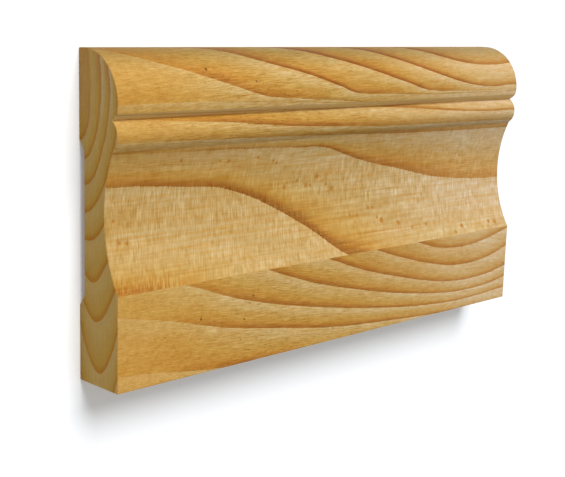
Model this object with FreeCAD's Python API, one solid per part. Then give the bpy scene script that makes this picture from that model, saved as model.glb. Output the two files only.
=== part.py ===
"""A length of softwood skirting board, planed to a moulded section from one piece of timber.

The board lies on its back. X runs along its length, Y up the height that it has on a wall, and Z through
its thickness, from the back at Z = 0 to the moulded face. The origin is the middle of the back.
Sizes are in millimetres. Heights in the section are measured from the board's bottom edge, and depths
from the plane of the back, or from the face where a comment says so.
"""

import FreeCAD
import Part

import os

# The board
board_length = 184.0
board_height = 95.0
board_thickness = 18.0

# The moulded face, from the top edge down
nose_flat = 3.0  # flat of the top edge, between the back and the rounded nose
nose_front_height = 1.9  # nearly upright front of the nose, below its quarter round
nose_front_slant = 0.35  # how far that front leans back to the lip
lip_drop = 1.9  # height over which the lip turns in to the quirk
lip_rise = 0.15  # how far the lip swells out from its own chord
quirk_depth = 2.7  # depth below the face of the sharp groove between nose and bead
bead_width = 8.6
bead_setback = 0.2  # how far the top of the bead stays behind the face
bead_foot_depth = 2.4  # depth below the face at which the bead meets the cove
cove_depth = 5.0  # depth of the cove below its own chord
base_height = 28.0  # flat foot of the face, below the cove

# The relieved back, which rests on the wall on two lands only
lower_land = 22.4
upper_land = 25.2
relief_depth = 2.3
relief_slope = 3.0  # height that each side of the relief slopes over

# The planed arrises of the back and the bottom edge
arris_radius = 0.3

# Heights that follow from those sizes
nose_radius = board_thickness - nose_flat
lip_height = board_height - nose_radius - nose_front_height
quirk_height = lip_height - lip_drop
bead_foot_height = quirk_height - bead_width
relief_bottom = lower_land + relief_slope
relief_top = board_height - upper_land - relief_slope


def at(height, depth):
    """The point of the section at a height and a depth, on the board's left end."""
    return FreeCAD.Vector(-board_length / 2, height - board_height / 2, depth)


def line(start, end):
    return Part.LineSegment(start, end).toShape()


def arc_through(start, middle, end):
    return Part.Arc(start, middle, end).toShape()


def hollow_arc(start, end, depth):
    """An arc down the face, sunk below its own chord by depth, or swelled out where depth is negative."""
    chord = end - start
    inwards = FreeCAD.Vector(0, -chord.z, chord.y).normalize()
    return arc_through(start, (start + end) * 0.5 + inwards * depth, end)


def quarter_round(start, centre, end):
    """A quarter of a circle, rounded away from its centre."""
    radius = (start - centre).Length
    outwards = ((start - centre) + (end - centre)).normalize()
    return arc_through(start, centre + outwards * radius, end)


def moulded_face():
    """The edges down the face: nose, lip, quirk, bead, cove and base."""
    nose_top = at(board_height, nose_flat)
    nose_centre = at(board_height - nose_radius, nose_flat)
    nose_front = at(board_height - nose_radius, board_thickness)
    lip = at(lip_height, board_thickness - nose_front_slant)
    quirk = at(quirk_height, board_thickness - quirk_depth)
    bead_top = at((quirk_height + bead_foot_height) / 2, board_thickness - bead_setback)
    bead_foot = at(bead_foot_height, board_thickness - bead_foot_depth)
    cove_foot = at(base_height, board_thickness)
    return [
        line(at(board_height, arris_radius), nose_top),
        quarter_round(nose_top, nose_centre, nose_front),
        line(nose_front, lip),
        hollow_arc(lip, quirk, -lip_rise),
        arc_through(quirk, bead_top, bead_foot),
        hollow_arc(bead_foot, cove_foot, cove_depth),
        line(cove_foot, at(arris_radius, board_thickness)),
    ]


def bottom_edge():
    """The edges across the bottom, from the face to the back, with both arrises eased."""
    front = board_thickness - arris_radius
    return [
        quarter_round(at(arris_radius, board_thickness), at(arris_radius, front), at(0, front)),
        line(at(0, front), at(0, arris_radius)),
        quarter_round(at(0, arris_radius), at(arris_radius, arris_radius), at(arris_radius, 0)),
    ]


def relieved_back():
    """The edges up the back: lower land, relief with its sloping sides, upper land and top arris."""
    top = board_height - arris_radius
    corners = [
        at(arris_radius, 0),
        at(lower_land, 0),
        at(relief_bottom, relief_depth),
        at(relief_top, relief_depth),
        at(board_height - upper_land, 0),
        at(top, 0),
    ]
    edges = [line(start, end) for start, end in zip(corners, corners[1:])]
    edges.append(quarter_round(at(top, 0), at(top, arris_radius), at(board_height, arris_radius)))
    return edges


def skirting_board():
    section = Part.Face(Part.Wire(moulded_face() + bottom_edge() + relieved_back()))
    return section.extrude(FreeCAD.Vector(board_length, 0, 0))


def main():
    os.makedirs("parts", exist_ok=True)
    board = skirting_board()
    board.exportStep("parts/skirting_board.step")
    box = board.BoundBox
    print("solid", board.ShapeType, "valid", board.isValid())
    print("length, height, thickness", box.XLength, box.YLength, box.ZLength)
    print("section area in mm2", board.Volume / board_length)


main()
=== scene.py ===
"""A length of pine skirting board that lies on its back on a pale floor, seen from above its left end.

The script works in metres in the board's own frame: X along the length, Y up the height that the board
has on a wall, Z out of the wall. Sizes that belong to the section or the grain are written in millimetres:
a height is measured from the bottom edge, a depth from the plane of the back, and a place along the
board from its left end.

The grain is drawn by its growth rings. Each ring is pale where it starts and darkens up to its edge. The
edges on the moulded face, and on the left end, are lines chosen from the photograph. The mesh
carries two numbers for each corner: how many rings have been crossed there, and how wide the ring is.
"""

import math

import bpy
import numpy as np
from mathutils import Matrix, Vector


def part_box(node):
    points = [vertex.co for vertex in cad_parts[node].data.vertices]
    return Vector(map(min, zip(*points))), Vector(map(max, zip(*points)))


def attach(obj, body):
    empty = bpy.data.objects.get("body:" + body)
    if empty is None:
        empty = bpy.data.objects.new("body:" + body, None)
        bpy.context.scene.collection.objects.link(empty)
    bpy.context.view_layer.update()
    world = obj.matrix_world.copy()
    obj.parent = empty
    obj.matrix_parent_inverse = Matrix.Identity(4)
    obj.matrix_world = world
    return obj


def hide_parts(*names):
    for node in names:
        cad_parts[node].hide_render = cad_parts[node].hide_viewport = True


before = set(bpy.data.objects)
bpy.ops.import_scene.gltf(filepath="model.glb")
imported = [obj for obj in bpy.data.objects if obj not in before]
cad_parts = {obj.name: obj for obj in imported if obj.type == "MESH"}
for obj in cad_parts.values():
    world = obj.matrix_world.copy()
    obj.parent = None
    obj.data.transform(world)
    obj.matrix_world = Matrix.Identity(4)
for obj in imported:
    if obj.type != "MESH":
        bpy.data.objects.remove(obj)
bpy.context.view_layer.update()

MM = 0.001
NODE = "skirting_board"
LOW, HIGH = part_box(NODE)
LENGTH, HEIGHT, THICKNESS = [(HIGH[i] - LOW[i]) / MM for i in range(3)]

# The section, from the top edge down
NOSE_FLAT = 3.0
NOSE_RADIUS = THICKNESS - NOSE_FLAT
NOSE_FRONT = HEIGHT - NOSE_RADIUS
NOSE_FRONT_HEIGHT = 1.9
NOSE_FRONT_SLANT = 0.35
LIP_HEIGHT = NOSE_FRONT - NOSE_FRONT_HEIGHT
LIP_DROP = 1.9
LIP_RISE = 0.15
QUIRK_HEIGHT = LIP_HEIGHT - LIP_DROP
QUIRK_DEPTH = 2.7
BEAD_WIDTH = 8.6
BEAD_SETBACK = 0.2
BEAD_FOOT_HEIGHT = QUIRK_HEIGHT - BEAD_WIDTH
BEAD_FOOT_DEPTH = 2.4
COVE_DEPTH = 5.0
BASE_HEIGHT = 28.0

# The relieved back
LOWER_LAND = 22.4
UPPER_LAND = 25.2
RELIEF_DEPTH = 2.3
RELIEF_SLOPE = 3.0

# How far each arris is eased
PLANED_ARRIS = 0.3
CRISP_ARRIS = 0.12
SAWN_ARRIS = 0.12

# The mesh's steps
STEP_AROUND = 0.5
STEP_ALONG = 1.5
COLUMNS = 12

# Ring edges on the face as (place along, height), from the top of each part of the section down
NOSE_RINGS = [
    [(0, 128), (100, 103.5), (137, 94.2), (145, 92.2), (153, 90.5), (162, 89.4), (172, 89.1), (184, 89.7)],
    [(0, 121), (60, 107), (112, 93.5), (125, 90.1), (140, 86), (150, 83.6), (160, 81.9), (184, 81.7)],
    [(0, 112), (50, 101), (77, 94.6), (100, 89.4), (115, 85.4), (126, 82.4), (130.5, 81.1), (133, 80.8),
     (145, 80.4), (184, 80)],
    [(0, 104), (30, 97.5), (44, 94.5), (60, 90.6), (75, 87.1), (88, 83.2), (94.5, 81.1), (97, 80.8),
     (108, 80.4), (124, 79.9), (184, 79.6)],
    [(0, 95.5), (13, 92.3), (30, 88), (48, 82.9), (55, 81.1), (57.5, 80.8), (66, 80.3), (76, 79.5),
     (86, 78.9), (102, 77.9), (130, 77.1), (184, 76.6)],
    [(0, 80.3), (30, 80.4), (50, 79.7), (72, 78.9), (86, 78.3), (102, 77.6), (112, 77.2), (184, 76.2)],
    [(0, 77.6), (30, 77.1), (50, 76.9), (86, 76.2), (184, 74)],
]
BEAD_RINGS = [
    [(0, 92), (60, 87), (100, 83), (130, 79), (150, 77.2), (184, 76.6)],
    [(0, 84), (60, 79.5), (100, 76.5), (114, 75.7), (130, 74.7), (152, 73.2), (165, 72.6), (184, 72.5)],
    [(0, 76.4), (26, 75), (38, 74.3), (66, 71.8), (82, 71.1), (98, 70.1), (130, 69.4), (184, 68.8)],
    [(0, 70.2), (38, 69.4), (66, 68.7), (98, 67.6), (184, 65.5)],
    [(0, 62), (184, 46)],
]
COVE_RINGS = [
    [(0, 70.2), (26, 69.6), (52, 69.05), (82, 68.3), (98, 67.5), (130, 66.4), (152, 66), (184, 65.7)],
    [(0, 67), (20, 66.3), (40, 65.9), (75, 64.5), (85, 63.9), (92, 61.9), (105, 58.1), (125, 53.8),
     (145, 49.5), (155, 48.2), (175, 46.6), (184, 46.5)],
    [(0, 57.6), (10, 57.2), (20, 56.4), (30, 55.4), (40, 54.5), (50, 51.9), (60, 48), (70, 43.1),
     (80, 37.4), (94, 28), (100, 26.2), (108, 22), (120, 10), (184, -30)],
    [(0, 27.4), (15, 25.8), (40, 18), (184, -45)],
]
BASE_RINGS = [
    [(0, 68), (60, 49), (100, 37), (131, 27.6), (140, 25), (150, 23.6), (160, 23.5), (172, 24.8),
     (184, 27.4)],
    [(0, 61), (60, 43), (90, 34), (120, 24.1), (135, 20), (150, 17.1), (160, 16.6), (172, 17.5),
     (184, 20.4)],
    [(0, 52), (40, 41), (85, 27.7), (101, 22.1), (120, 17), (135, 13.5), (150, 11.1), (162, 10.5),
     (174, 11.1), (184, 12.7)],
    [(0, 45), (58, 27.7), (73, 22.4), (101, 15.1), (133, 9), (150, 7), (162, 6.5), (174, 7), (184, 8.3)],
    [(0, 36), (29, 26.3), (43, 21.3), (57, 17.4), (73, 13.9), (101, 8.8), (133, 4.6), (152, 3.3), (184, 4)],
    [(0, 22), (15, 18.9), (43, 11.9), (57, 9.5), (87, 4.6), (117, 1.9), (152, -0.2), (184, -1)],
    [(0, 5.1), (15, 3.3), (29, 1.2), (60, -1), (100, -4), (184, -9)],
]
FACE_RINGS = {"nose": NOSE_RINGS, "bead": BEAD_RINGS, "cove": COVE_RINGS, "base": BASE_RINGS}

# The width of the rings outside the first and the last edge, and the least width that a ring has
OUTSIDE_RING = 8.0
LEAST_RING = 0.3

# The left end's ring edges as (depth, height), outwards from the heart of the tree
HEART = (0.0, 84.0)
END_RINGS = [
    [(4.3, 96), (4.7, 93), (4.95, 90.5), (5.1, 88.2), (5.2, 86), (5.25, 84), (5.25, 82), (5.2, 80),
     (5.1, 78), (4.9, 76.3), (4, 73.1), (2.75, 70.9), (0, 69)],
    [(9.4, 96), (10, 92), (10.4, 87), (10.5, 83.8), (10.2, 80), (9.6, 76.3), (8.4, 72.5), (6.8, 68.8),
     (4.9, 65.9), (2.75, 64.4)],
    [(13, 93), (13.9, 88.8), (14.6, 83), (14, 77.5), (13, 73.8), (11.8, 70), (10.5, 66.9), (9, 63.1),
     (7.1, 60), (4.6, 57.8), (2.75, 57.2)],
    [(17.4, 88), (17.6, 80), (17.4, 74.4), (17.1, 71.3), (15.9, 68.1), (13.7, 62.5), (10.9, 56.3),
     (8.4, 53.1), (5.9, 50.6), (2.75, 49.2)],
    [(22, 74), (19, 62), (15, 52), (12.1, 47.5), (9, 43.8), (6.5, 42.2), (4.3, 41.6), (2.4, 41.7)],
    [(24, 66), (21, 52), (17, 42), (13.5, 36.9), (11.5, 34.7), (9.6, 31.9), (7.75, 30.3), (5.9, 29.8),
     (4, 30.3), (2.75, 31.3), (0, 34)],
    [(27, 60), (22, 41), (16.8, 29.4), (14, 24.4), (11.5, 20.9), (9.6, 19.4), (7.75, 18.6), (5.9, 19.1),
     (4, 20.6), (2.1, 23.1), (0, 27)],
    [(30, 52), (22, 26), (17.75, 16.9), (16.5, 13.1), (14.6, 9.4), (12.4, 5.9), (10.25, 4.1),
     (8.4, 3.9), (6.5, 5), (4.6, 7.5), (2.75, 10.6), (0.9, 14.4), (0, 17)],
    [(34, 44), (24, 16), (18, 4.5), (16, -1), (13, -6), (8.4, -9), (4, -7), (1.5, -2), (0, 2)],
]

# How far the heart sinks and comes forward over the board's length, and how it wavers on the way
HEART_SINK = 9.0
HEART_FORWARD = 2.5
HEART_WAVER = 1.2
WAVER_LENGTH = 31.0

# How the face's grain runs on over the rounded top and under the bottom edge
CROWN_DEPTH, CROWN_RISE = 10.5, 0.034
BOWL_MIDDLE, BOWL_RISE = 9.0, 0.17


# The section

def arc(start, middle, end):
    """Points of the circular arc through three (height, depth) points, without the last one."""
    a, b, c = (np.array(point) for point in (start, middle, end))
    centre = np.linalg.solve(2 * np.array([b - a, c - a]), [b @ b - a @ a, c @ c - a @ a])
    angles = np.unwrap([math.atan2(p[1] - centre[1], p[0] - centre[0]) for p in (a, b, c)])
    radius = math.dist(a, centre)
    count = max(3, round(abs(angles[2] - angles[0]) * radius / STEP_AROUND))
    turns = np.linspace(angles[0], angles[2], count, endpoint=False)
    return [tuple(centre + radius * np.array([math.cos(t), math.sin(t)])) for t in turns]


def sagged(start, end, sag):
    """The middle of an arc down the face that is sunk below its chord by sag."""
    start, end = np.array(start), np.array(end)
    chord = (end - start) / math.dist(start, end)
    inwards = np.array([-chord[1], chord[0]])
    return tuple((start + end) / 2 + inwards * sag)


def eased(corners, turns=4):
    """The line through (point, ease) corners, each eased corner drawn as a small curve."""
    points = []
    for i, (corner, ease) in enumerate(corners):
        here = np.array(corner, dtype=float)
        if not ease:
            points.append(here)
            continue
        before, after = np.array(corners[i - 1][0]), np.array(corners[i + 1][0])
        start = here + (before - here) / np.linalg.norm(before - here) * ease
        end = here + (after - here) / np.linalg.norm(after - here) * ease
        for t in np.linspace(0, 1, turns + 1):
            points.append((1 - t) ** 2 * start + 2 * t * (1 - t) * here + t ** 2 * end)
    return np.array(points)


def filled(points):
    """The line with its long straight runs cut into short steps."""
    steps = [points[:1]]
    for start, end in zip(points, points[1:]):
        count = max(1, round(math.dist(start, end) / STEP_AROUND))
        steps.append(np.linspace(start, end, count + 1)[1:])
    return np.concatenate(steps)


def plain(points):
    """The points as corners that are not eased."""
    return [(point, 0) for point in points]


def face_line():
    """The moulded face from the top edge down to the bottom edge."""
    round_middle = NOSE_RADIUS * math.sqrt(0.5)
    nose_top = (HEIGHT, NOSE_FLAT)
    nose_middle = (NOSE_FRONT + round_middle, NOSE_FLAT + round_middle)
    nose_front = (NOSE_FRONT, THICKNESS)
    lip = (LIP_HEIGHT, THICKNESS - NOSE_FRONT_SLANT)
    quirk = (QUIRK_HEIGHT, THICKNESS - QUIRK_DEPTH)
    bead_top = ((QUIRK_HEIGHT + BEAD_FOOT_HEIGHT) / 2, THICKNESS - BEAD_SETBACK)
    bead_foot = (BEAD_FOOT_HEIGHT, THICKNESS - BEAD_FOOT_DEPTH)
    cove_foot = (BASE_HEIGHT, THICKNESS)
    corners = plain(arc(nose_top, nose_middle, nose_front) + [nose_front])
    corners += [(lip, CRISP_ARRIS)] + plain(arc(lip, sagged(lip, quirk, -LIP_RISE), quirk)[1:])
    corners += plain(arc(quirk, bead_top, bead_foot))
    corners += plain(arc(bead_foot, sagged(bead_foot, cove_foot, COVE_DEPTH), cove_foot))
    corners += [(cove_foot, CRISP_ARRIS), ((0, THICKNESS), PLANED_ARRIS), ((0, THICKNESS - PLANED_ARRIS), 0)]
    return filled(eased(corners))


def back_line():
    """The relieved back from the top edge down to the bottom edge."""
    return eased([
        ((HEIGHT, PLANED_ARRIS), 0),
        ((HEIGHT, 0), PLANED_ARRIS),
        ((HEIGHT - UPPER_LAND, 0), CRISP_ARRIS),
        ((HEIGHT - UPPER_LAND - RELIEF_SLOPE, RELIEF_DEPTH), 0),
        ((LOWER_LAND + RELIEF_SLOPE, RELIEF_DEPTH), 0),
        ((LOWER_LAND, 0), CRISP_ARRIS),
        ((0, 0), PLANED_ARRIS),
        ((0, PLANED_ARRIS), 0),
    ])


def spaced(values, least=0.02):
    """Falling values without those that lie too near the one before, keeping the first and the last."""
    kept = [values[0]]
    for value in values[1:-1]:
        if kept[-1] - value >= least and value - values[-1] >= least:
            kept.append(value)
    return np.array(kept + [values[-1]])


def section_rows():
    """(height, depth) points in rows from the back to the face, one row for each height, from the top."""
    face, back = face_line(), back_line()
    heights = np.unique(np.round(np.concatenate([face[:, 0], back[:, 0]]), 3))[::-1]
    heights = spaced(heights)
    face_depth = np.interp(heights, face[::-1, 0], face[::-1, 1])
    back_depth = np.interp(heights, back[::-1, 0], back[::-1, 1])
    share = np.linspace(0, 1, COLUMNS + 1)
    depths = back_depth[:, None] + (face_depth - back_depth)[:, None] * share
    return np.stack([np.broadcast_to(heights[:, None], depths.shape), depths], axis=-1)


def outline_walk(rows):
    """The (row, column) steps once round the section: down the face, under it, up the back, over the top."""
    last = rows - 1
    down = [(row, COLUMNS) for row in range(rows)]
    under = [(last, column) for column in range(COLUMNS - 1, -1, -1)]
    up = [(row, 0) for row in range(last - 1, -1, -1)]
    over = [(0, column) for column in range(1, COLUMNS)]
    return down + under + up + over


def drawn_in(rows, walk):
    """The rows with their outline drawn in by the sawn ends' arris."""
    line = np.array([rows[step] for step in walk])
    along = np.roll(line, -1, axis=0) - np.roll(line, 1, axis=0)
    inwards = np.stack([-along[:, 1], along[:, 0]], axis=1)
    small = line + inwards / np.linalg.norm(inwards, axis=1)[:, None] * SAWN_ARRIS
    ends = rows.copy()
    for step, point in zip(walk, small):
        ends[step] = point
    share = np.linspace(0, 1, COLUMNS + 1)[:, None]
    return ends[:, :1] + (ends[:, -1:] - ends[:, :1]) * share


# The growth rings

def smooth_line(points, places):
    """Heights on a smooth line through (place, height) points."""
    x, y = np.array(points, dtype=float).T
    slopes = np.gradient(y, x)
    i = np.clip(np.searchsorted(x, places) - 1, 0, len(x) - 2)
    width = x[i + 1] - x[i]
    t = (places - x[i]) / width
    start = (1 + 2 * t) * (1 - t) ** 2 * y[i] + t * (1 - t) ** 2 * width * slopes[i]
    end = t ** 2 * (3 - 2 * t) * y[i + 1] + t ** 2 * (t - 1) * width * slopes[i + 1]
    return start + end


def rings_crossed(edges, value):
    """How many of the rising edges a value has passed, with its share of its ring, and that ring's width."""
    count = np.zeros(np.shape(value))
    width = np.full(np.shape(value), OUTSIDE_RING)
    for inner, outer in zip(edges, edges[1:]):
        step = np.maximum(outer - inner, LEAST_RING)
        share = (value - inner) / step
        count += np.clip(share, 0, 1)
        width = np.where((share > 0) & (share <= 1), step, width)
    return np.stack([count, width], axis=-1)


def face_grain(part, places, height):
    """The rings of a part of the moulded face, crossed from the top down."""
    edges = [-smooth_line(ring, places) for ring in FACE_RINGS[part]]
    value = np.full(len(places), -height)
    return rings_crossed([edges[0] - OUTSIDE_RING, *edges, edges[-1] + OUTSIDE_RING], value)


def heart_grain(places, height, depth):
    """The rings round the heart of the tree, for the ends and the back."""
    share = places / LENGTH
    out = depth - HEART[0] - HEART_FORWARD * share
    up = height - HEART[1] + HEART_SINK * share + HEART_WAVER * np.sin(places / WAVER_LENGTH)
    angle, radius = np.arctan2(up, out), np.hypot(up, out)
    edges = [np.zeros(np.shape(radius))]
    for ring in END_RINGS:
        reach = np.array(ring, dtype=float) - HEART
        turns = np.arctan2(reach[:, 1], reach[:, 0])
        order = np.argsort(turns)
        edges.append(np.interp(angle, turns[order], np.hypot(*reach.T)[order]))
    return rings_crossed([*edges, edges[-1] + OUTSIDE_RING], radius)


def run_on_height(height, depth):
    """The height on the face whose grain runs on to a point of the nose or of the bottom edge."""
    if height > LIP_HEIGHT:
        return height + CROWN_RISE * max(0, CROWN_DEPTH - depth) ** 2
    if height > 0:
        return height
    front = THICKNESS - PLANED_ARRIS - BOWL_MIDDLE
    return BOWL_RISE * (front ** 2 - (depth - BOWL_MIDDLE) ** 2)


def part_of(start, end):
    """The part of the section that a step of its outline belongs to."""
    height = (start[0] + end[0]) / 2
    if end[0] > start[0]:
        return "back"
    if height > QUIRK_HEIGHT:
        return "nose"
    if height > BEAD_FOOT_HEIGHT:
        return "bead"
    return "cove" if height > BASE_HEIGHT else "base"


def grain(part, places, point):
    """The rings along the line that runs down the board's length through a point of its outline."""
    height, depth = point
    if part == "back":
        return heart_grain(places, height, depth)
    return face_grain(part, places, run_on_height(height, depth))


# The board's mesh

MATERIALS = ["nose", "bead", "cove", "base", "back", "end"]
SMOOTH_ANGLE = math.radians(30)

# The unrolled map: the side of its square, and the gap between the long sides and the ends on it
SHEET = 240.0
GAP = 2.0


class Skin:
    """The mesh's faces, each with its material, and the rings and the map place of each corner."""

    def __init__(self):
        self.faces = []
        self.rings = []
        self.maps = []
        self.slots = []

    def add(self, face, rings, maps, part):
        self.faces.append(tuple(int(vertex) for vertex in face))
        self.rings += rings
        self.maps += maps
        self.slots.append(MATERIALS.index(part))


def places_along():
    """The places along the board that have vertices."""
    inner = np.linspace(STEP_ALONG, LENGTH - STEP_ALONG, round(LENGTH / STEP_ALONG) - 1)
    return np.array([0, SAWN_ARRIS, *inner, LENGTH - SAWN_ARRIS, LENGTH])


def board_vertices(ends, outline, places):
    """The left end's grid of vertices, the outlines between, and the right end's grid."""
    sheets = [(0, ends.reshape(-1, 2))]
    sheets += [(place, outline) for place in places[1:-1]]
    sheets += [(LENGTH, ends.reshape(-1, 2))]
    vertices = []
    for place, points in sheets:
        along = np.full(len(points), place - LENGTH / 2)
        vertices.append(np.stack([along, points[:, 0] - HEIGHT / 2, points[:, 1]], axis=1) * MM)
    return np.concatenate(vertices)


def add_sides(skin, outline, rounds, places):
    """The long sides, a strip along the board for each step of the outline. Rounds are its vertices."""
    steps = np.linalg.norm(np.diff(outline, axis=0, append=outline[:1]), axis=1)
    around = np.concatenate([[0], np.cumsum(steps)])
    for j in range(len(outline)):
        k = (j + 1) % len(outline)
        part = part_of(outline[j], outline[k])
        here, there = grain(part, places, outline[j]), grain(part, places, outline[k])
        for i in range(len(places) - 1):
            face = (rounds[i][j], rounds[i][k], rounds[i + 1][k], rounds[i + 1][j])
            maps = [(places[i], around[j]), (places[i], around[j + 1])]
            maps += [(places[i + 1], around[j + 1]), (places[i + 1], around[j])]
            skin.add(face, [here[i], there[i], there[i + 1], here[i + 1]], maps, part)


def add_end(skin, rows, first, right):
    """The left or the right sawn end, a grid whose vertices are numbered from first."""
    place = LENGTH if right else 0
    rings = heart_grain(np.full(rows.shape[:2], place), rows[..., 0], rows[..., 1])
    map_side = LENGTH + GAP + right * (THICKNESS + GAP)
    for row in range(rows.shape[0] - 1):
        for column in range(COLUMNS):
            quad = [(row, column), (row + 1, column), (row + 1, column + 1), (row, column + 1)]
            if right:
                quad.reverse()
            face = [first + r * (COLUMNS + 1) + c for r, c in quad]
            maps = [(map_side + rows[step][1], rows[step][0]) for step in quad]
            skin.add(face, [rings[step] for step in quad], maps, "end")


def board_mesh():
    """The board's mesh, with its rings, its materials and its unrolled map."""
    rows = section_rows()
    walk = outline_walk(len(rows))
    outline = np.array([rows[step] for step in walk])
    places = places_along()
    grid = rows.shape[0] * rows.shape[1]
    left = np.array([row * (COLUMNS + 1) + column for row, column in walk])
    between = [grid + len(walk) * i + np.arange(len(walk)) for i in range(len(places) - 2)]
    right_grid = grid + len(walk) * len(between)

    skin = Skin()
    add_sides(skin, outline, [left, *between, left + right_grid], places)
    add_end(skin, rows, 0, right=False)
    add_end(skin, rows, right_grid, right=True)

    mesh = bpy.data.meshes.new("skirting_board_wood")
    vertices = board_vertices(drawn_in(rows, walk), outline, places)
    mesh.from_pydata(vertices.tolist(), [], skin.faces)
    mesh.polygons.foreach_set("material_index", skin.slots)
    mesh.uv_layers.new(name="OFBake").data.foreach_set("uv", (np.array(skin.maps) / SHEET).ravel())
    for name, values in zip(("rings", "ring_width"), np.array(skin.rings).T):
        mesh.attributes.new(name, "FLOAT", "CORNER").data.foreach_set("value", values)
    mesh.polygons.foreach_set("use_smooth", [True] * len(mesh.polygons))
    mesh.set_sharp_from_angle(angle=SMOOTH_ANGLE)
    return mesh


# Materials

def colour(red, green, blue):
    """A colour given as it shows on a screen, from 0 to 255, as the shader's own numbers."""
    shown = [value / 255 for value in (red, green, blue)]
    return (*[v / 12.92 if v <= 0.04045 else ((v + 0.055) / 1.055) ** 2.4 for v in shown], 1)


class Shader:
    """One material's nodes. Each method adds a node, feeds its inputs and gives back its output."""

    def __init__(self, name):
        self.material = bpy.data.materials.new(name)
        self.material.use_nodes = True
        self.nodes = self.material.node_tree.nodes
        self.surface = self.nodes["Principled BSDF"].inputs

    def feed(self, socket, value):
        if isinstance(value, bpy.types.NodeSocket):
            self.material.node_tree.links.new(value, socket)
        else:
            socket.default_value = value

    def add(self, kind, inputs=None, output=0, **settings):
        node = self.nodes.new("ShaderNode" + kind)
        for name, value in settings.items():
            setattr(node, name, value)
        for key, value in (inputs or {}).items():
            self.feed(node.inputs[key], value)
        return node.outputs[output]

    def math(self, operation, *values, clamp=False):
        return self.add("Math", dict(enumerate(values)), operation=operation, use_clamp=clamp)

    def vector(self, operation, *values, output=0, **more):
        return self.add("VectorMath", {**dict(enumerate(values)), **more}, output, operation=operation)

    def split(self, vector):
        node = self.add("SeparateXYZ", {0: vector}).node
        return node.outputs[0], node.outputs[1], node.outputs[2]

    def join(self, x, y, z):
        return self.add("CombineXYZ", {0: x, 1: y, 2: z})

    def times(self, *values):
        result = values[0]
        for value in values[1:]:
            result = self.math("MULTIPLY", result, value)
        return result

    def total(self, *values):
        result = values[0]
        for value in values[1:]:
            result = self.math("ADD", result, value)
        return result

    def rest(self, value, share=1.0):
        """One less a share of the value."""
        return self.math("MULTIPLY_ADD", value, -share, 1.0)

    def fade(self, value, start, end, low=0.0, high=1.0):
        """A smooth step from low at start to high at end."""
        inputs = {"Value": value, "From Min": start, "From Max": end, "To Min": low, "To Max": high}
        return self.add("MapRange", inputs, interpolation_type="SMOOTHSTEP")

    def noise(self, spot, along, across, seed, detail=2.0):
        """Noise centred on nought, whose grains are along long and across wide, in the spot's units."""
        stretch = (1 / along, 1 / across, 1 / across)
        moved = self.add("Mapping", {"Vector": spot, "Location": (seed, seed, seed), "Scale": stretch})
        cloud = self.add("TexNoise", {"Vector": moved, "Scale": 1.0, "Detail": detail})
        return self.math("SUBTRACT", cloud, 0.5)

    def ramp(self, position, stops):
        node = self.add("ValToRGB", {"Fac": position}).node
        elements = node.color_ramp.elements
        for place, shade in stops[1:-1]:
            elements.new(place)
        for element, (place, shade) in zip(elements, stops):
            element.position, element.color = place, colour(*shade)
        return node.outputs["Color"]

    def mix(self, share, first, second, blend="MIX"):
        return self.add("Mix", {0: share, 6: first, 7: second}, 2, data_type="RGBA", blend_type=blend)

    def shaded(self, shade, factor):
        """The colour multiplied by a number."""
        return self.mix(1.0, shade, self.join(factor, factor, factor), "MULTIPLY")

    def toned(self, shade, swing, tone):
        """The colour with each of its three numbers multiplied by one plus the swing times its tone."""
        return self.mix(1.0, shade, self.vector("MULTIPLY_ADD", swing, tone, (1, 1, 1)), "MULTIPLY")


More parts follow.
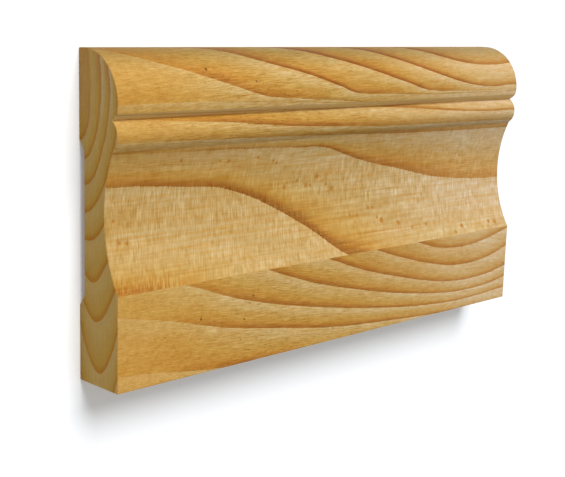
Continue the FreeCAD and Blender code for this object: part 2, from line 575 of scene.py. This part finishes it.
class WoodShader(Shader):
    """The nodes of a wood, which know the spot on the board in millimetres and its growth ring."""

    def __init__(self, name):
        super().__init__(name)
        self.spot = self.vector("SCALE", self.add("TexCoord", output="Object"), Scale=1 / MM)
        x, y, self.depth = self.split(self.spot)
        self.place = self.math("ADD", x, LENGTH / 2)
        self.height = self.math("ADD", y, HEIGHT / 2)
        self.crossed = self.add("Attribute", output="Fac", attribute_name="rings")
        self.ring_width = self.add("Attribute", output="Fac", attribute_name="ring_width")

    def along(self, start, end, low=0.0, high=1.0):
        """A smooth step from low at one place along the board to high at another."""
        return self.fade(self.place, start, end, low, high)

    def up(self, start, end, low=0.0, high=1.0):
        """A smooth step from low at one height to high at another."""
        return self.fade(self.height, start, end, low, high)

    def after(self, edges):
        """One where more ring edges than this have been crossed from the top, nought elsewhere."""
        return self.math("GREATER_THAN", self.crossed, edges)

    def before(self, edges):
        """One where fewer ring edges than this have been crossed from the top, nought elsewhere."""
        return self.math("LESS_THAN", self.crossed, edges)

    def zone(self, left=None, right=None, bottom=None, top=None, after=None, before=None):
        """One inside a zone and nought outside it.

        Left, right, bottom and top are the places or the heights, the lower one first, between which the
        zone fades at that side. After and before are numbers of ring edges. Each may be left out.
        """
        sides = []
        if left:
            sides.append(self.along(*left))
        if right:
            sides.append(self.along(right[1], right[0]))
        if bottom:
            sides.append(self.up(*bottom))
        if top:
            sides.append(self.up(top[1], top[0]))
        if after:
            sides.append(self.after(after))
        if before:
            sides.append(self.before(before))
        return self.times(*sides)

    def patchwork(self, patches):
        """The sum of some patches, each a strength and the sides of its zone."""
        return self.total(*[self.times(self.zone(**sides), strength) for strength, sides in patches])

    def nearest(self, marks, stretch=1.0):
        """The distance to the edge of the nearest (place, height, radius) mark, stretched up the face."""
        here = self.join(self.place, self.times(self.height, 1 / stretch), 0.0)
        least = FAR
        for place, height, radius in marks:
            away = self.vector("DISTANCE", here, (place, height / stretch, 0.0), output=1)
            least = self.math("MINIMUM", least, self.math("SUBTRACT", away, radius))
        return least

    def ring_share(self, jag=0.0):
        """How far the spot, moved by jag, lies through its ring: nought at its start, one at its edge."""
        moved = self.math("DIVIDE", jag, self.ring_width)
        return self.math("FRACT", self.math("ADD", self.crossed, moved))

    def ring_edge(self, share, band):
        """How strongly the ring's dark edge shows, over a band in millimetres."""
        to_edge = self.times(self.rest(share), self.ring_width)
        reach = self.math("MINIMUM", self.times(self.ring_width, WIDEST_EDGE), band)
        return self.fade(self.math("DIVIDE", to_edge, reach), 1.0, EDGE_CORE)


# One ring's colours from its start to its edge: at the warm left end, at the pale right end, and on the
# sawn ends
WARM_RING = [
    (0.0, (201, 165, 104)), (0.15, (197, 163, 103)), (0.3, (193, 156, 90)), (0.45, (191, 150, 78)),
    (0.6, (188, 144, 67)), (0.8, (185, 133, 55)), (1.0, (181, 126, 49)),
]
PALE_RING = [
    (0.0, (212, 183, 142)), (0.15, (208, 178, 134)), (0.3, (204, 173, 125)), (0.45, (201, 168, 116)),
    (0.6, (198, 161, 105)), (0.8, (195, 152, 88)), (1.0, (191, 143, 76)),
]
END_RING = [(0.0, (197, 163, 97)), (0.3, (196, 161, 90)), (0.7, (192, 151, 68)), (1.0, (188, 141, 52))]

# The dark edges of the rings
LATEWOOD = (160, 102, 36)
PALE_LATEWOOD = (180, 128, 66)
WEAK_LATEWOOD = (156, 114, 58)
LIP_LATEWOOD = (168, 120, 55)
END_LATEWOOD = (181, 119, 30)
HEART_LATEWOOD = (186, 128, 64)

# The share of its ring that an edge takes at most, and the share of an edge that is fully dark
WIDEST_EDGE = 0.28
EDGE_CORE = 0.08

# Other colours in the wood, the first of them painted light on the lip's shaded underside
LIP_PAINTED_LIGHT = (237, 205, 138)
DASH_WOOD = (126, 84, 26)
PIT_WOOD = (96, 60, 4)
FLECK_WOOD = (176, 114, 28)
TICK_WOOD = (180, 126, 62)
LINE_WOOD = (190, 130, 58)
HEARTWOOD = (188, 138, 84)
BROWN_WOOD = (186, 130, 78)
GREY_WOOD = (206, 182, 142)

# How the wood's red, green and blue follow a change of its tone
FINE_TONE = (1.0, 1.46, 2.87)
SOFT_TONE = (1.0, 1.7, 3.2)
BROAD_TONE = (1.0, 2.7, 6.6)
WARM_TONE = (1.0, 0.7, 0.3)
EDGE_TONE = (1.0, 1.8, 2.8)
START_TONE = (1.0, 1.6, 3.6)

# The planed wood's noises as (length, width, seed, detail), in millimetres
FIBRES = (5, 0.24, 1, 2)
STREAKS = (18, 0.8, 2, 2)
PALENESS = (50, 14, 3, 2)
CLOUDS = (20, 6, 4, 2)
MOTTLE = (2.4, 1.4, 5, 2)
GRIT = (1.1, 0.45, 6, 1)
DASHES = (1.8, 0.24, 9, 1)

# The hollow's noises. The cutter's marks, from cuts to ticks, are drawn out up the board by the stretch,
# and lean by the square of how far they lie below a height
COVE_FIBRES = (5, 0.3, 1, 2)
COVE_STREAKS = (30, 0.9, 2, 2)
COVE_CLOUDS = (24, 7, 4, 2)
COVE_MOTTLE = (1.8, 2.2, 5, 2)
BLOTCHES = (7, 4, 8, 2)
FINGERS = (14, 1.1, 12, 2)
LINES = (45, 0.35, 14, 1)
STRIPES = (22, 0.75, 17, 2)
CUTS = (0.45, 0.4, 7, 2)
BROAD_CUTS = (1.3, 0.5, 10, 2)
HAIRS = (0.6, 0.35, 15, 2)
RIBS = (1.3, 0.6, 16, 2)
TICKS = (0.7, 1.6, 13, 1)
CUT_STRETCH = 10.0
LEAN_HEIGHT = 45.0
LEAN = 0.012

# The sawn ends' noises. The saw's marks are drawn out up the board
SAW_MARKS = (1.0, 0.3, 1, 2)
DOTS = (1.0, 0.4, 2, 2)
END_CLOUDS = (5, 5, 4, 2)
SAW_STRETCH = 20.0

# Marks in the wood as (place along, height, radius)
NOSE_PITS = [(33.3, 89.3, 0.26), (51.3, 85.7, 0.26)]
BASE_PITS = [(30.2, 16.7, 0.35), (47.5, 13.8, 0.35), (51.0, 20.7, 0.25)]
COVE_FLECKS = [
    (4.6, 41.6, 0.4), (7.1, 41.2, 0.4), (3, 47.8, 0.4), (25.3, 63.4, 0.35), (40.4, 62.4, 0.3),
    (43.8, 61.9, 0.4), (55.8, 62.3, 0.45), (62.6, 60.8, 0.3), (64.3, 59.9, 0.35), (69, 51.8, 0.6),
    (74.6, 53.5, 0.35), (79, 51.5, 0.6), (80.6, 51.4, 0.3), (84, 54, 0.5), (88.2, 51.1, 0.4),
    (91, 49.5, 0.5), (99, 40.1, 0.35), (102.7, 39.6, 0.35), (101.1, 37.6, 0.3), (108.5, 41.6, 0.4),
    (110.6, 41.5, 0.45), (112.5, 38, 0.4), (114.5, 36.9, 0.7), (122.9, 35.1, 0.5), (129.5, 33.1, 0.35),
    (137.3, 33.3, 0.4), (150.5, 58.6, 0.3), (152.6, 29, 0.35), (157, 30.8, 0.55), (158.7, 56.2, 0.25),
    (173.4, 30.7, 0.45), (177.2, 30.1, 0.55), (101.9, 49.5, 0.3), (137.5, 43.5, 0.3),
]
FLECK_STRETCH = 1.1
FAR = 9.0

# Patches that are paler (above nought) or more golden (below), each a strength and the sides of its zone
NOSE_PATCHES = [
    (0.022, dict(left=(62, 72), right=(150, 165), top=(81.5, 82.5))),
    (0.016, dict(left=(12, 30), right=(70, 85), bottom=(82, 83))),
]
BASE_PATCHES = [
    (-0.032, dict(right=(12, 36), bottom=(2, 6), top=(14, 19))),
    (-0.02, dict(left=(18, 24), right=(40, 66), bottom=(7, 9), top=(10, 13))),
    (-0.035, dict(left=(85, 105), right=(150, 172), bottom=(15, 22))),
    (0.018, dict(left=(5, 15), right=(45, 55), bottom=(12, 16))),
    (0.02, dict(left=(90, 110), top=(6, 13))),
    (0.05, dict(left=(138, 145), right=(165, 172), bottom=(23, 25))),
]
COVE_PATCHES = [
    (-0.03, dict(right=(2, 16), top=(50, 56))),
    (-0.022, dict(right=(45, 52), bottom=(43, 44.5), top=(47, 48.5))),
    (-0.028, dict(left=(30, 42), right=(88, 96), bottom=(51, 52.5), top=(55.5, 57))),
    (-0.035, dict(left=(140, 170), top=(33, 38))),
    (0.018, dict(left=(105, 120), right=(150, 165), bottom=(38, 43), after=2)),
    (0.022, dict(left=(132, 145), right=(155, 165), bottom=(49, 54))),
]

# Slopes of the fibres, the places between which the wood turns pale, and the surface's finish
NOSE_SLOPE = -0.06
BASE_SLOPE = 0.1
BACK_SLOPE = 0.03
PALE_STRETCH = (80, 200)
PALE_DRIFT = 60
NOSE_PALE_STRETCH = (90, 220)
PLANED_ROUGHNESS = 0.6
SAWN_ROUGHNESS = 0.75
SHEEN = 0.14
RELIEF_HEIGHT = 0.1 * MM


def ring_wood(s, position, edge, pale):
    """The ring's colour at a position on the ramps, paler over the places along the board given by pale."""
    paleness = s.fade(s.total(s.place, s.times(s.noise(s.spot, *PALENESS), PALE_DRIFT)), *pale)
    wood = s.mix(paleness, s.ramp(position, WARM_RING), s.ramp(position, PALE_RING))
    return s.mix(edge, wood, s.mix(paleness, colour(*LATEWOOD), colour(*PALE_LATEWOOD)))


def finish_wood(s, wood, relief, roughness=PLANED_ROUGHNESS):
    """The material, with its colour and its relief fed to its surface."""
    bump = {"Strength": 1.0, "Distance": RELIEF_HEIGHT, "Height": relief}
    s.feed(s.surface["Base Color"], wood)
    s.feed(s.surface["Normal"], s.add("Bump", bump))
    s.surface["Roughness"].default_value = roughness
    s.surface["Specular IOR Level"].default_value = SHEEN
    return s.material


def planed_wood(s, slope=0.0, pits=(), shift=0.0, band=1.8, line=1.0, pale=PALE_STRETCH, bend=1.0,
                spread=1.0):
    """The colour and the relief of planed pine, whose fibres fall by slope along the board.

    The ring's colours are taken from the ramps at shift plus the ring's share, bent and spread. A bend
    above one keeps more of each ring pale. Line is how dark the rings' edges are, and band how wide.
    """
    x, y, z = s.split(s.spot)
    run = s.join(x, s.math("ADD", y, s.times(x, slope)), z)
    calm = s.along(5, 50, 0.45, 1.0)
    fibres = s.times(s.noise(run, *FIBRES), calm, s.along(70, 140, 1.0, 0.5))
    streaks = s.times(s.noise(run, *STREAKS), calm)
    grit = s.times(s.noise(run, *GRIT), s.along(10, 70, 0.3, 0.12))
    mottle = s.noise(s.spot, *MOTTLE)
    clouds = s.noise(s.spot, *CLOUDS)

    # The ring's colour and its edge, which fades out towards the left end
    drift = s.total(s.times(streaks, 0.35), s.times(clouds, 0.35), shift)
    share = s.ring_share(s.times(fibres, 0.25))
    edge = s.ring_edge(share, s.times(s.total(1.0, s.times(drift, 2.0)), band))
    edge = s.times(edge, line, s.fade(s.total(s.place, s.times(clouds, 30)), 10, 65))
    through = s.times(s.math("POWER", share, bend), spread)
    wood = ring_wood(s, s.math("ADD", through, drift, clamp=True), edge, pale)

    # The wood's tones and marks
    wood = s.toned(wood, s.along(75, 0, 0.0, 0.08), WARM_TONE)
    wood = s.toned(wood, s.total(fibres, grit), FINE_TONE)
    wood = s.toned(wood, s.times(mottle, s.along(0, 70, 0.3, 0.25)), SOFT_TONE)
    wood = s.toned(wood, s.times(streaks, 0.24), BROAD_TONE)
    dash = s.fade(s.total(s.noise(run, *DASHES), s.times(clouds, 0.3)), 0.18, 0.26)
    dash = s.times(dash, calm, s.along(70, 120, 1.0, 0.65))
    wood = s.mix(s.times(dash, 0.6), wood, colour(*DASH_WOOD))
    sunk = dash
    if pits:
        pit = s.fade(s.total(s.nearest(pits), s.times(mottle, 0.8)), 0.2, -0.12)
        wood = s.mix(s.times(pit, 0.85), wood, colour(*PIT_WOOD))
        sunk = s.total(dash, s.times(pit, 0.7))
    return wood, s.total(s.times(fibres, 0.6), s.times(edge, 0.4), s.times(sunk, -0.7))


def nose_wood():
    """The rounded top, with painted shade over its crown and painted light under its lip."""
    s = WoodShader("pine_nose")
    last = s.zone(left=(15, 35), right=(60, 90), after=5)
    crown = s.zone(right=(20, 45), bottom=(90.5, 93))
    line = s.math("SUBTRACT", s.rest(last, 0.6), s.times(crown, 0.8))
    line = s.times(line, s.up(82, 80.6, 1.0, 0.35))
    spread = s.times(s.along(0, 50, 0.45, 1.0), s.rest(last, 0.5), s.up(81.6, 80.4, 1.0, 0.7))
    wood, relief = planed_wood(s, NOSE_SLOPE, NOSE_PITS, shift=s.along(75, 0, 0.04, 0.3), line=line,
                               pale=NOSE_PALE_STRETCH, bend=s.along(110, 160, 1.15, 1.6), spread=spread)

    # Darker ring edges, golden and pale patches, and painted shade over the crown
    share = s.ring_share()
    dark = s.times(s.ring_edge(share, 1.4), line, s.zone(left=(45, 70), right=(150, 170)))
    wood = s.toned(wood, s.times(dark, -0.18), EDGE_TONE)
    golden = s.math("MAXIMUM", s.up(91.5, 90), s.zone(left=(105, 115), right=(150, 165)))
    golden = s.times(golden, s.up(85, 87), -0.02)
    wood = s.toned(wood, s.total(golden, s.patchwork(NOSE_PATCHES)), BROAD_TONE)
    # Painted shade: the crown darkens up to the top edge, and its blue falls there
    wood = s.shaded(wood, s.up(88, 98, 1.0, 0.45))
    wood = s.toned(wood, s.up(89, 96), (0.0, -0.04, -0.35))

    # The lip's underside: painted light against its shade, and the edges of its rings
    wood = s.mix(s.up(78.3, 77.8, 0.0, 0.65), wood, colour(*LIP_PAINTED_LIGHT))
    under = s.times(s.ring_edge(share, 0.6), s.after(6), s.up(78, 77.8, 0.0, 0.5))
    wood = s.mix(under, wood, colour(*LIP_LATEWOOD))
    return finish_wood(s, wood, relief)


def bead_wood():
    """The bead, whose lowest part lies in the pale edge of the hollow. Its lower side has painted shade,
    and its foot painted light against the crease's shade.
    """
    s = WoodShader("pine_bead")
    line = s.zone(left=(14, 30), bottom=(70.2, 71.5))
    bend = s.total(s.zone(left=(95, 135), before=2), 1.3)
    wood, relief = planed_wood(s, shift=s.along(75, 0, 0.06, 0.36), line=line, bend=bend,
                               spread=s.along(0, 60, 0.3, 0.95))
    start = s.times(s.fade(s.ring_share(), 0.15, 0.03), s.along(50, 90))
    wood = s.toned(wood, s.times(start, -0.07), START_TONE)
    # Painted shade on the bead's lower side, which faces down, with a greyer tone low down; painted light at
    # its foot
    wood = s.shaded(wood, s.up(70, 72.5, 0.95, 1.0))
    foot = s.times(s.up(69, 68), s.along(0, 100, 0.28, 0.1))
    wood = s.shaded(wood, s.total(foot, 1.0))
    wood = s.toned(wood, s.up(70.8, 70.2), (0.01, 0.06, 0.12))
    wood = s.toned(wood, s.zone(right=(85, 100), top=(72.6, 73.4)), (0.01, 0.02, 0.1))
    return finish_wood(s, wood, relief)


def base_wood():
    """The flat base, whose lower left part is redder."""
    s = WoodShader("pine_base")
    bend = s.total(s.along(20, 50, 0.75, 1.2), s.along(70, 100, 0.0, -0.25), s.along(140, 160, 0.0, 0.25))
    wood, relief = planed_wood(s, BASE_SLOPE, BASE_PITS, shift=s.along(75, 0, 0.0, 0.28), band=2.2,
                               line=s.along(110, 160, 1.0, 0.9), bend=bend, spread=s.along(0, 55, 0.3, 1.0))
    wood = s.toned(wood, s.patchwork(BASE_PATCHES), BROAD_TONE)
    wood = s.toned(wood, s.zone(right=(15, 40), top=(12, 18)), (0.03, 0.01, 0.0))
    return finish_wood(s, wood, relief)


def back_wood():
    """The relieved back, planed plainly."""
    s = WoodShader("pine_back")
    return finish_wood(s, *planed_wood(s, BACK_SLOPE))


def leaned_spot(s):
    """The spot for the cutter's marks, which are tall and lean near the hollow's foot."""
    x, y = s.split(s.spot)[:2]
    below = s.math("MAXIMUM", s.math("SUBTRACT", LEAN_HEIGHT, s.height), 0.0)
    return s.join(s.total(x, s.times(below, below, LEAN)), s.times(y, 1 / CUT_STRETCH), 0.0)


def cove_cuts(s, leaned, blotches, middle):
    """The cutter's marks, weaker high up, towards the right, and in the middle and the lowest ring."""
    cuts = s.total(s.noise(leaned, *CUTS), s.times(s.noise(leaned, *BROAD_CUTS), 0.35))
    cuts = s.times(cuts, s.fade(blotches, -0.2, 0.2, 0.6, 1.1), s.along(90, 150, 0.95, 0.75))
    cuts = s.times(cuts, s.fade(s.ring_share(), 0.1, 0.8, 1.1, 0.85), s.up(54, 62, 1.0, 0.45))
    calmed = s.times(middle, s.up(46, 40, 0.15, 0.45))
    return s.times(cuts, s.rest(calmed), s.rest(s.after(3), 0.14))


def cove_drift(s, streaks, cuts, hair):
    """How much further through its ring the wood's colour is, by its streaks, clouds and warm parts."""
    top_left = s.total(s.along(90, 55, 0.0, 0.17), s.along(34, 8, 0.0, 0.2))
    top_right = s.times(s.zone(left=(85, 110), bottom=(48, 56)), s.up(56, 60, 1.0, 0.7))
    foot = s.times(s.zone(right=(10, 42), top=(28, 35)), s.total(0.28, s.times(hair, 2.5)))
    warm = s.total(s.times(top_left, s.up(55, 60)), s.times(top_right, 0.12), foot)
    clouds = s.noise(s.spot, *COVE_CLOUDS)
    return s.total(s.times(streaks, 0.4), s.times(clouds, 0.3), s.times(cuts, 0.4), warm)


def cove_edge(s, share, drift, cuts):
    """How strongly a ring's dark edge shows, over a band that the cuts and long fingers make ragged."""
    fingers = s.times(s.noise(s.spot, *FINGERS), s.along(65, 85), 2.5)
    reach = s.total(s.along(45, 75, 3.2, 4.5), s.zone(left=(72, 88), after=2))
    band = s.times(s.total(1.0, s.times(drift, 2.0), s.times(cuts, 2.5), fingers), reach)
    return s.ring_edge(share, s.math("MAXIMUM", band, 0.5))


def cove_spread(s, share, weak):
    """The position on the ramps that the share of a ring stands for."""
    lowest = s.times(s.after(3), s.along(85, 55, 0.0, 1.5))
    later = s.times(s.after(2), s.along(100, 130, 0.3, 0.4))
    bend = s.total(s.along(80, 125, 2.0, 1.2), lowest, later)
    spread = s.times(s.math("POWER", share, bend), s.rest(weak, 0.6), s.along(0, 35, 0.75, 1.0))
    stripe = s.times(s.fade(share, 0.18, 0.3), s.fade(share, 0.48, 0.36), s.after(2))
    return s.total(s.times(stripe, 0.1), spread)


def cove_marks(s, wood, leaned, blotches, mottle):
    """The wood with long lines, short ticks and round flecks, and how strongly the flecks show."""
    lines = s.fade(s.noise(s.spot, *LINES), 0.1, 0.26)
    lines = s.times(lines, s.along(5, 90, 0.3, 1.0), s.along(160, 120, 0.4, 1.0))
    lines = s.times(lines, s.zone(top=(44, 48), after=2))
    wood = s.mix(s.times(lines, 0.55), wood, colour(*LINE_WOOD))
    ticks = s.fade(s.total(s.noise(leaned, *TICKS), s.times(blotches, 0.25)), 0.2, 0.32)
    ticks = s.times(ticks, s.zone(left=(70, 90), top=(46, 50)))
    wood = s.mix(s.times(ticks, 0.45), wood, colour(*TICK_WOOD))
    flecks = s.fade(s.total(s.nearest(COVE_FLECKS, FLECK_STRETCH), mottle), 0.45, -0.2)
    return s.mix(s.times(flecks, 0.8), wood, colour(*FLECK_WOOD)), flecks


def cove_wood():
    """The hollow, where the cutter's marks run across the board and lean near its foot."""
    s = WoodShader("pine_cove")
    leaned = leaned_spot(s)
    hair = s.noise(leaned, *HAIRS)
    blotches = s.noise(s.spot, *BLOTCHES)
    mottle = s.noise(s.spot, *COVE_MOTTLE)
    middle = s.zone(left=(55, 70), right=(120, 150), after=2, before=3)
    top_right = s.zone(left=(110, 140), before=2)
    cuts = cove_cuts(s, leaned, blotches, middle)
    streaks = s.times(s.noise(s.spot, *COVE_STREAKS), s.fade(s.ring_share(), 0.1, 0.8, 0.8, 1.4))
    streaks = s.times(streaks, s.math("SUBTRACT", s.along(40, 100, 0.95, 1.2), s.times(top_right, 0.6)))
    drift = cove_drift(s, streaks, cuts, hair)

    # The ring's colour and its edge, which is weak along the top
    share = s.ring_share(s.times(cuts, 1.2))
    weak = s.zone(right=(45, 95), bottom=(60, 63))
    weak = s.math("MAXIMUM", weak, s.times(s.before(1), s.along(100, 130, 0.6, 0.35)))
    line = s.times(s.rest(weak), s.along(110, 165, 1.0, 0.6), s.along(0, 14, 0.5, 1.0))
    edge = cove_edge(s, share, drift, cuts)
    position = s.math("ADD", cove_spread(s, share, weak), drift, clamp=True)
    wood = ring_wood(s, position, s.times(edge, line), PALE_STRETCH)
    wood = s.mix(s.times(edge, weak, s.along(20, 45, 0.3, 0.65)), wood, colour(*WEAK_LATEWOOD))
    # Painted shade on the hollow's top, which faces down under the bead; the pale share of each ring is a
    # little darker too
    wood = s.shaded(wood, s.times(s.up(60, 67, 1.0, 0.96), s.fade(share, 0.4, 0.6, 0.95, 1.0)))
    dark = s.times(edge, s.zone(left=(35, 50), right=(95, 110), top=(58, 62)))
    wood = s.shaded(wood, s.rest(dark, 0.17))

    # The wood's fine tones
    fibres = s.math("MAXIMUM", s.up(56, 62, 0.4, 1.0), top_right)
    fibres = s.times(s.noise(s.spot, *COVE_FIBRES), fibres, 0.55)
    hairs = s.times(hair, edge, s.zone(left=(30, 45), right=(80, 95)))
    ribs = s.zone(left=(85, 100), right=(135, 155), bottom=(42, 47), after=2)
    ribs = s.times(s.noise(leaned, *RIBS), ribs, 0.5)
    stripes = s.times(s.noise(s.spot, *STRIPES), middle, s.up(54, 46, 0.12, 0.38))
    wood = s.toned(wood, s.total(cuts, fibres, hairs, ribs, stripes), FINE_TONE)

    # Its broad tones
    wood = s.toned(wood, s.zone(right=(40, 85), bottom=(57, 60)), (0.05, 0.02, 0.02))
    wood = s.toned(wood, s.patchwork(COVE_PATCHES), BROAD_TONE)
    wood = s.toned(wood, s.zone(left=(118, 130), right=(168, 178), top=(31.4, 32.6)), (0.06, 0.12, 0.18))
    wood = s.toned(wood, s.zone(left=(70, 80), right=(92, 100), bottom=(57, 60), after=2), (0.0, 0.06, 0.2))
    wood = s.toned(wood, s.times(mottle, 0.28), SOFT_TONE)
    wood = s.toned(wood, s.total(s.times(streaks, 0.24), s.times(blotches, 0.13)), BROAD_TONE)

    wood, flecks = cove_marks(s, wood, leaned, blotches, mottle)
    relief = s.total(s.times(cuts, 1.2), s.times(edge, line, 0.3), s.times(flecks, -0.8))
    return finish_wood(s, wood, relief)


def end_wood():
    """Sawn end grain, whose rings are soft bands, browner near the heart."""
    s = WoodShader("pine_end")
    y, z = s.split(s.spot)[1:]
    saw_marks = s.noise(s.join(0.0, s.times(y, 1 / SAW_STRETCH), z), *SAW_MARKS)
    dots = s.noise(s.spot, *DOTS)
    clouds = s.noise(s.spot, *END_CLOUDS)
    share = s.ring_share(s.times(clouds, 0.3))
    first = s.zone(bottom=(78, 86), before=1)
    edge = s.times(s.ring_edge(share, s.up(66, 80, 2.6, 2.4)), s.rest(first, 0.8), 0.8)
    wood = s.ramp(s.math("ADD", share, s.times(clouds, 0.3), clamp=True), END_RING)
    wood = s.mix(edge, wood, s.mix(s.up(66, 80), colour(*END_LATEWOOD), colour(*HEART_LATEWOOD)))
    heart = s.times(s.up(70, 84), s.fade(s.total(s.depth, s.times(clouds, 8)), 7, 2))
    wood = s.mix(s.times(heart, 0.6), wood, colour(*HEARTWOOD))
    brown = s.times(s.up(82, 90), s.fade(share, 0.4, 0.8), s.fade(s.depth, 7, 9))
    wood = s.mix(s.times(brown, 0.6), wood, colour(*BROWN_WOOD))
    grey = s.times(s.up(74, 82), s.fade(share, 0.45, 0.1), s.fade(s.depth, 6, 9))
    wood = s.mix(s.times(grey, 0.5), wood, colour(*GREY_WOOD))
    wood = s.toned(wood, s.total(s.times(saw_marks, 0.3), s.times(dots, 0.25)), FINE_TONE)
    wood = s.toned(wood, s.times(clouds, 0.1), SOFT_TONE)
    return finish_wood(s, wood, s.total(dots, saw_marks), SAWN_ROUGHNESS)


board = bpy.data.objects.new("skirting_board_wood", board_mesh())
bpy.context.collection.objects.link(board)
for material in (nose_wood(), bead_wood(), cove_wood(), base_wood(), back_wood(), end_wood()):
    board.data.materials.append(material)
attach(board, "root")
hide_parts(NODE)


# Floor

FLOOR_SIDE = 6.0
FLOOR_LIT = (0.65, 0.65, 0.65, 1)
FLOOR_SEEN = (0.95, 0.975, 1, 1)
FLOOR_GLOW = 0.135


def made_floor():
    """A pale floor that shows white to the camera where nothing shades it."""
    mesh = bpy.data.meshes.new("floor")
    reach = FLOOR_SIDE / 2
    corners = [(-reach, -reach, 0), (reach, -reach, 0), (reach, reach, 0), (-reach, reach, 0)]
    mesh.from_pydata(corners, [], [(0, 1, 2, 3)])
    floor = bpy.data.objects.new("floor", mesh)
    bpy.context.collection.objects.link(floor)
    s = Shader("pale_floor")
    rays = s.add("LightPath").node.outputs
    seen = s.math("MAXIMUM", rays["Is Camera Ray"], rays["Is Glossy Ray"])
    s.feed(s.surface["Base Color"], s.mix(seen, FLOOR_LIT, FLOOR_SEEN))
    s.feed(s.surface["Emission Strength"], s.times(seen, FLOOR_GLOW))
    s.surface["Emission Color"].default_value = (1, 1, 1, 1)
    s.surface["Roughness"].default_value = 1.0
    s.surface["Specular IOR Level"].default_value = 0.0
    mesh.materials.append(s.material)
    return floor


made_floor()

# Camera: its place, the turns that carry the board's axes to its own, and its lens
CAMERA_PLACE = (-0.2783, 0.0591, 0.2693)
TILT, TURN, ROLL = 0.19386, 0.78111, -0.02966
FILM_WIDTH = 36.0
LENS = 74.15
camera = bpy.data.objects.new("camera", bpy.data.cameras.new("camera"))
bpy.context.collection.objects.link(camera)
camera.data.sensor_width = FILM_WIDTH
camera.data.lens = LENS
camera.data.clip_start = 0.01
turned = Matrix.Rotation(ROLL, 3, "Z") @ Matrix.Rotation(TILT, 3, "X") @ Matrix.Rotation(TURN, 3, "Y")
camera.matrix_world = Matrix.Translation(CAMERA_PLACE) @ turned.transposed().to_4x4()
bpy.context.scene.camera = camera

# Light: a soft sky, and a broad key light from above the board's top edge
SKY = 0.35
KEY = 0.875
KEY_LEAN = math.radians(42)
KEY_BREADTH = math.radians(32)
world = bpy.data.worlds.new("world")
bpy.context.scene.world = world
world.use_nodes = True
sky = world.node_tree.nodes["Background"].inputs
sky["Color"].default_value = (1, 1, 1, 1)
sky["Strength"].default_value = SKY
lamp = bpy.data.lights.new("key", "SUN")
lamp.energy = KEY * math.pi
lamp.angle = KEY_BREADTH
key = bpy.data.objects.new("key", lamp)
bpy.context.collection.objects.link(key)
key.rotation_euler = (-KEY_LEAN, 0, 0)

bpy.context.scene.view_settings.view_transform = "Standard"
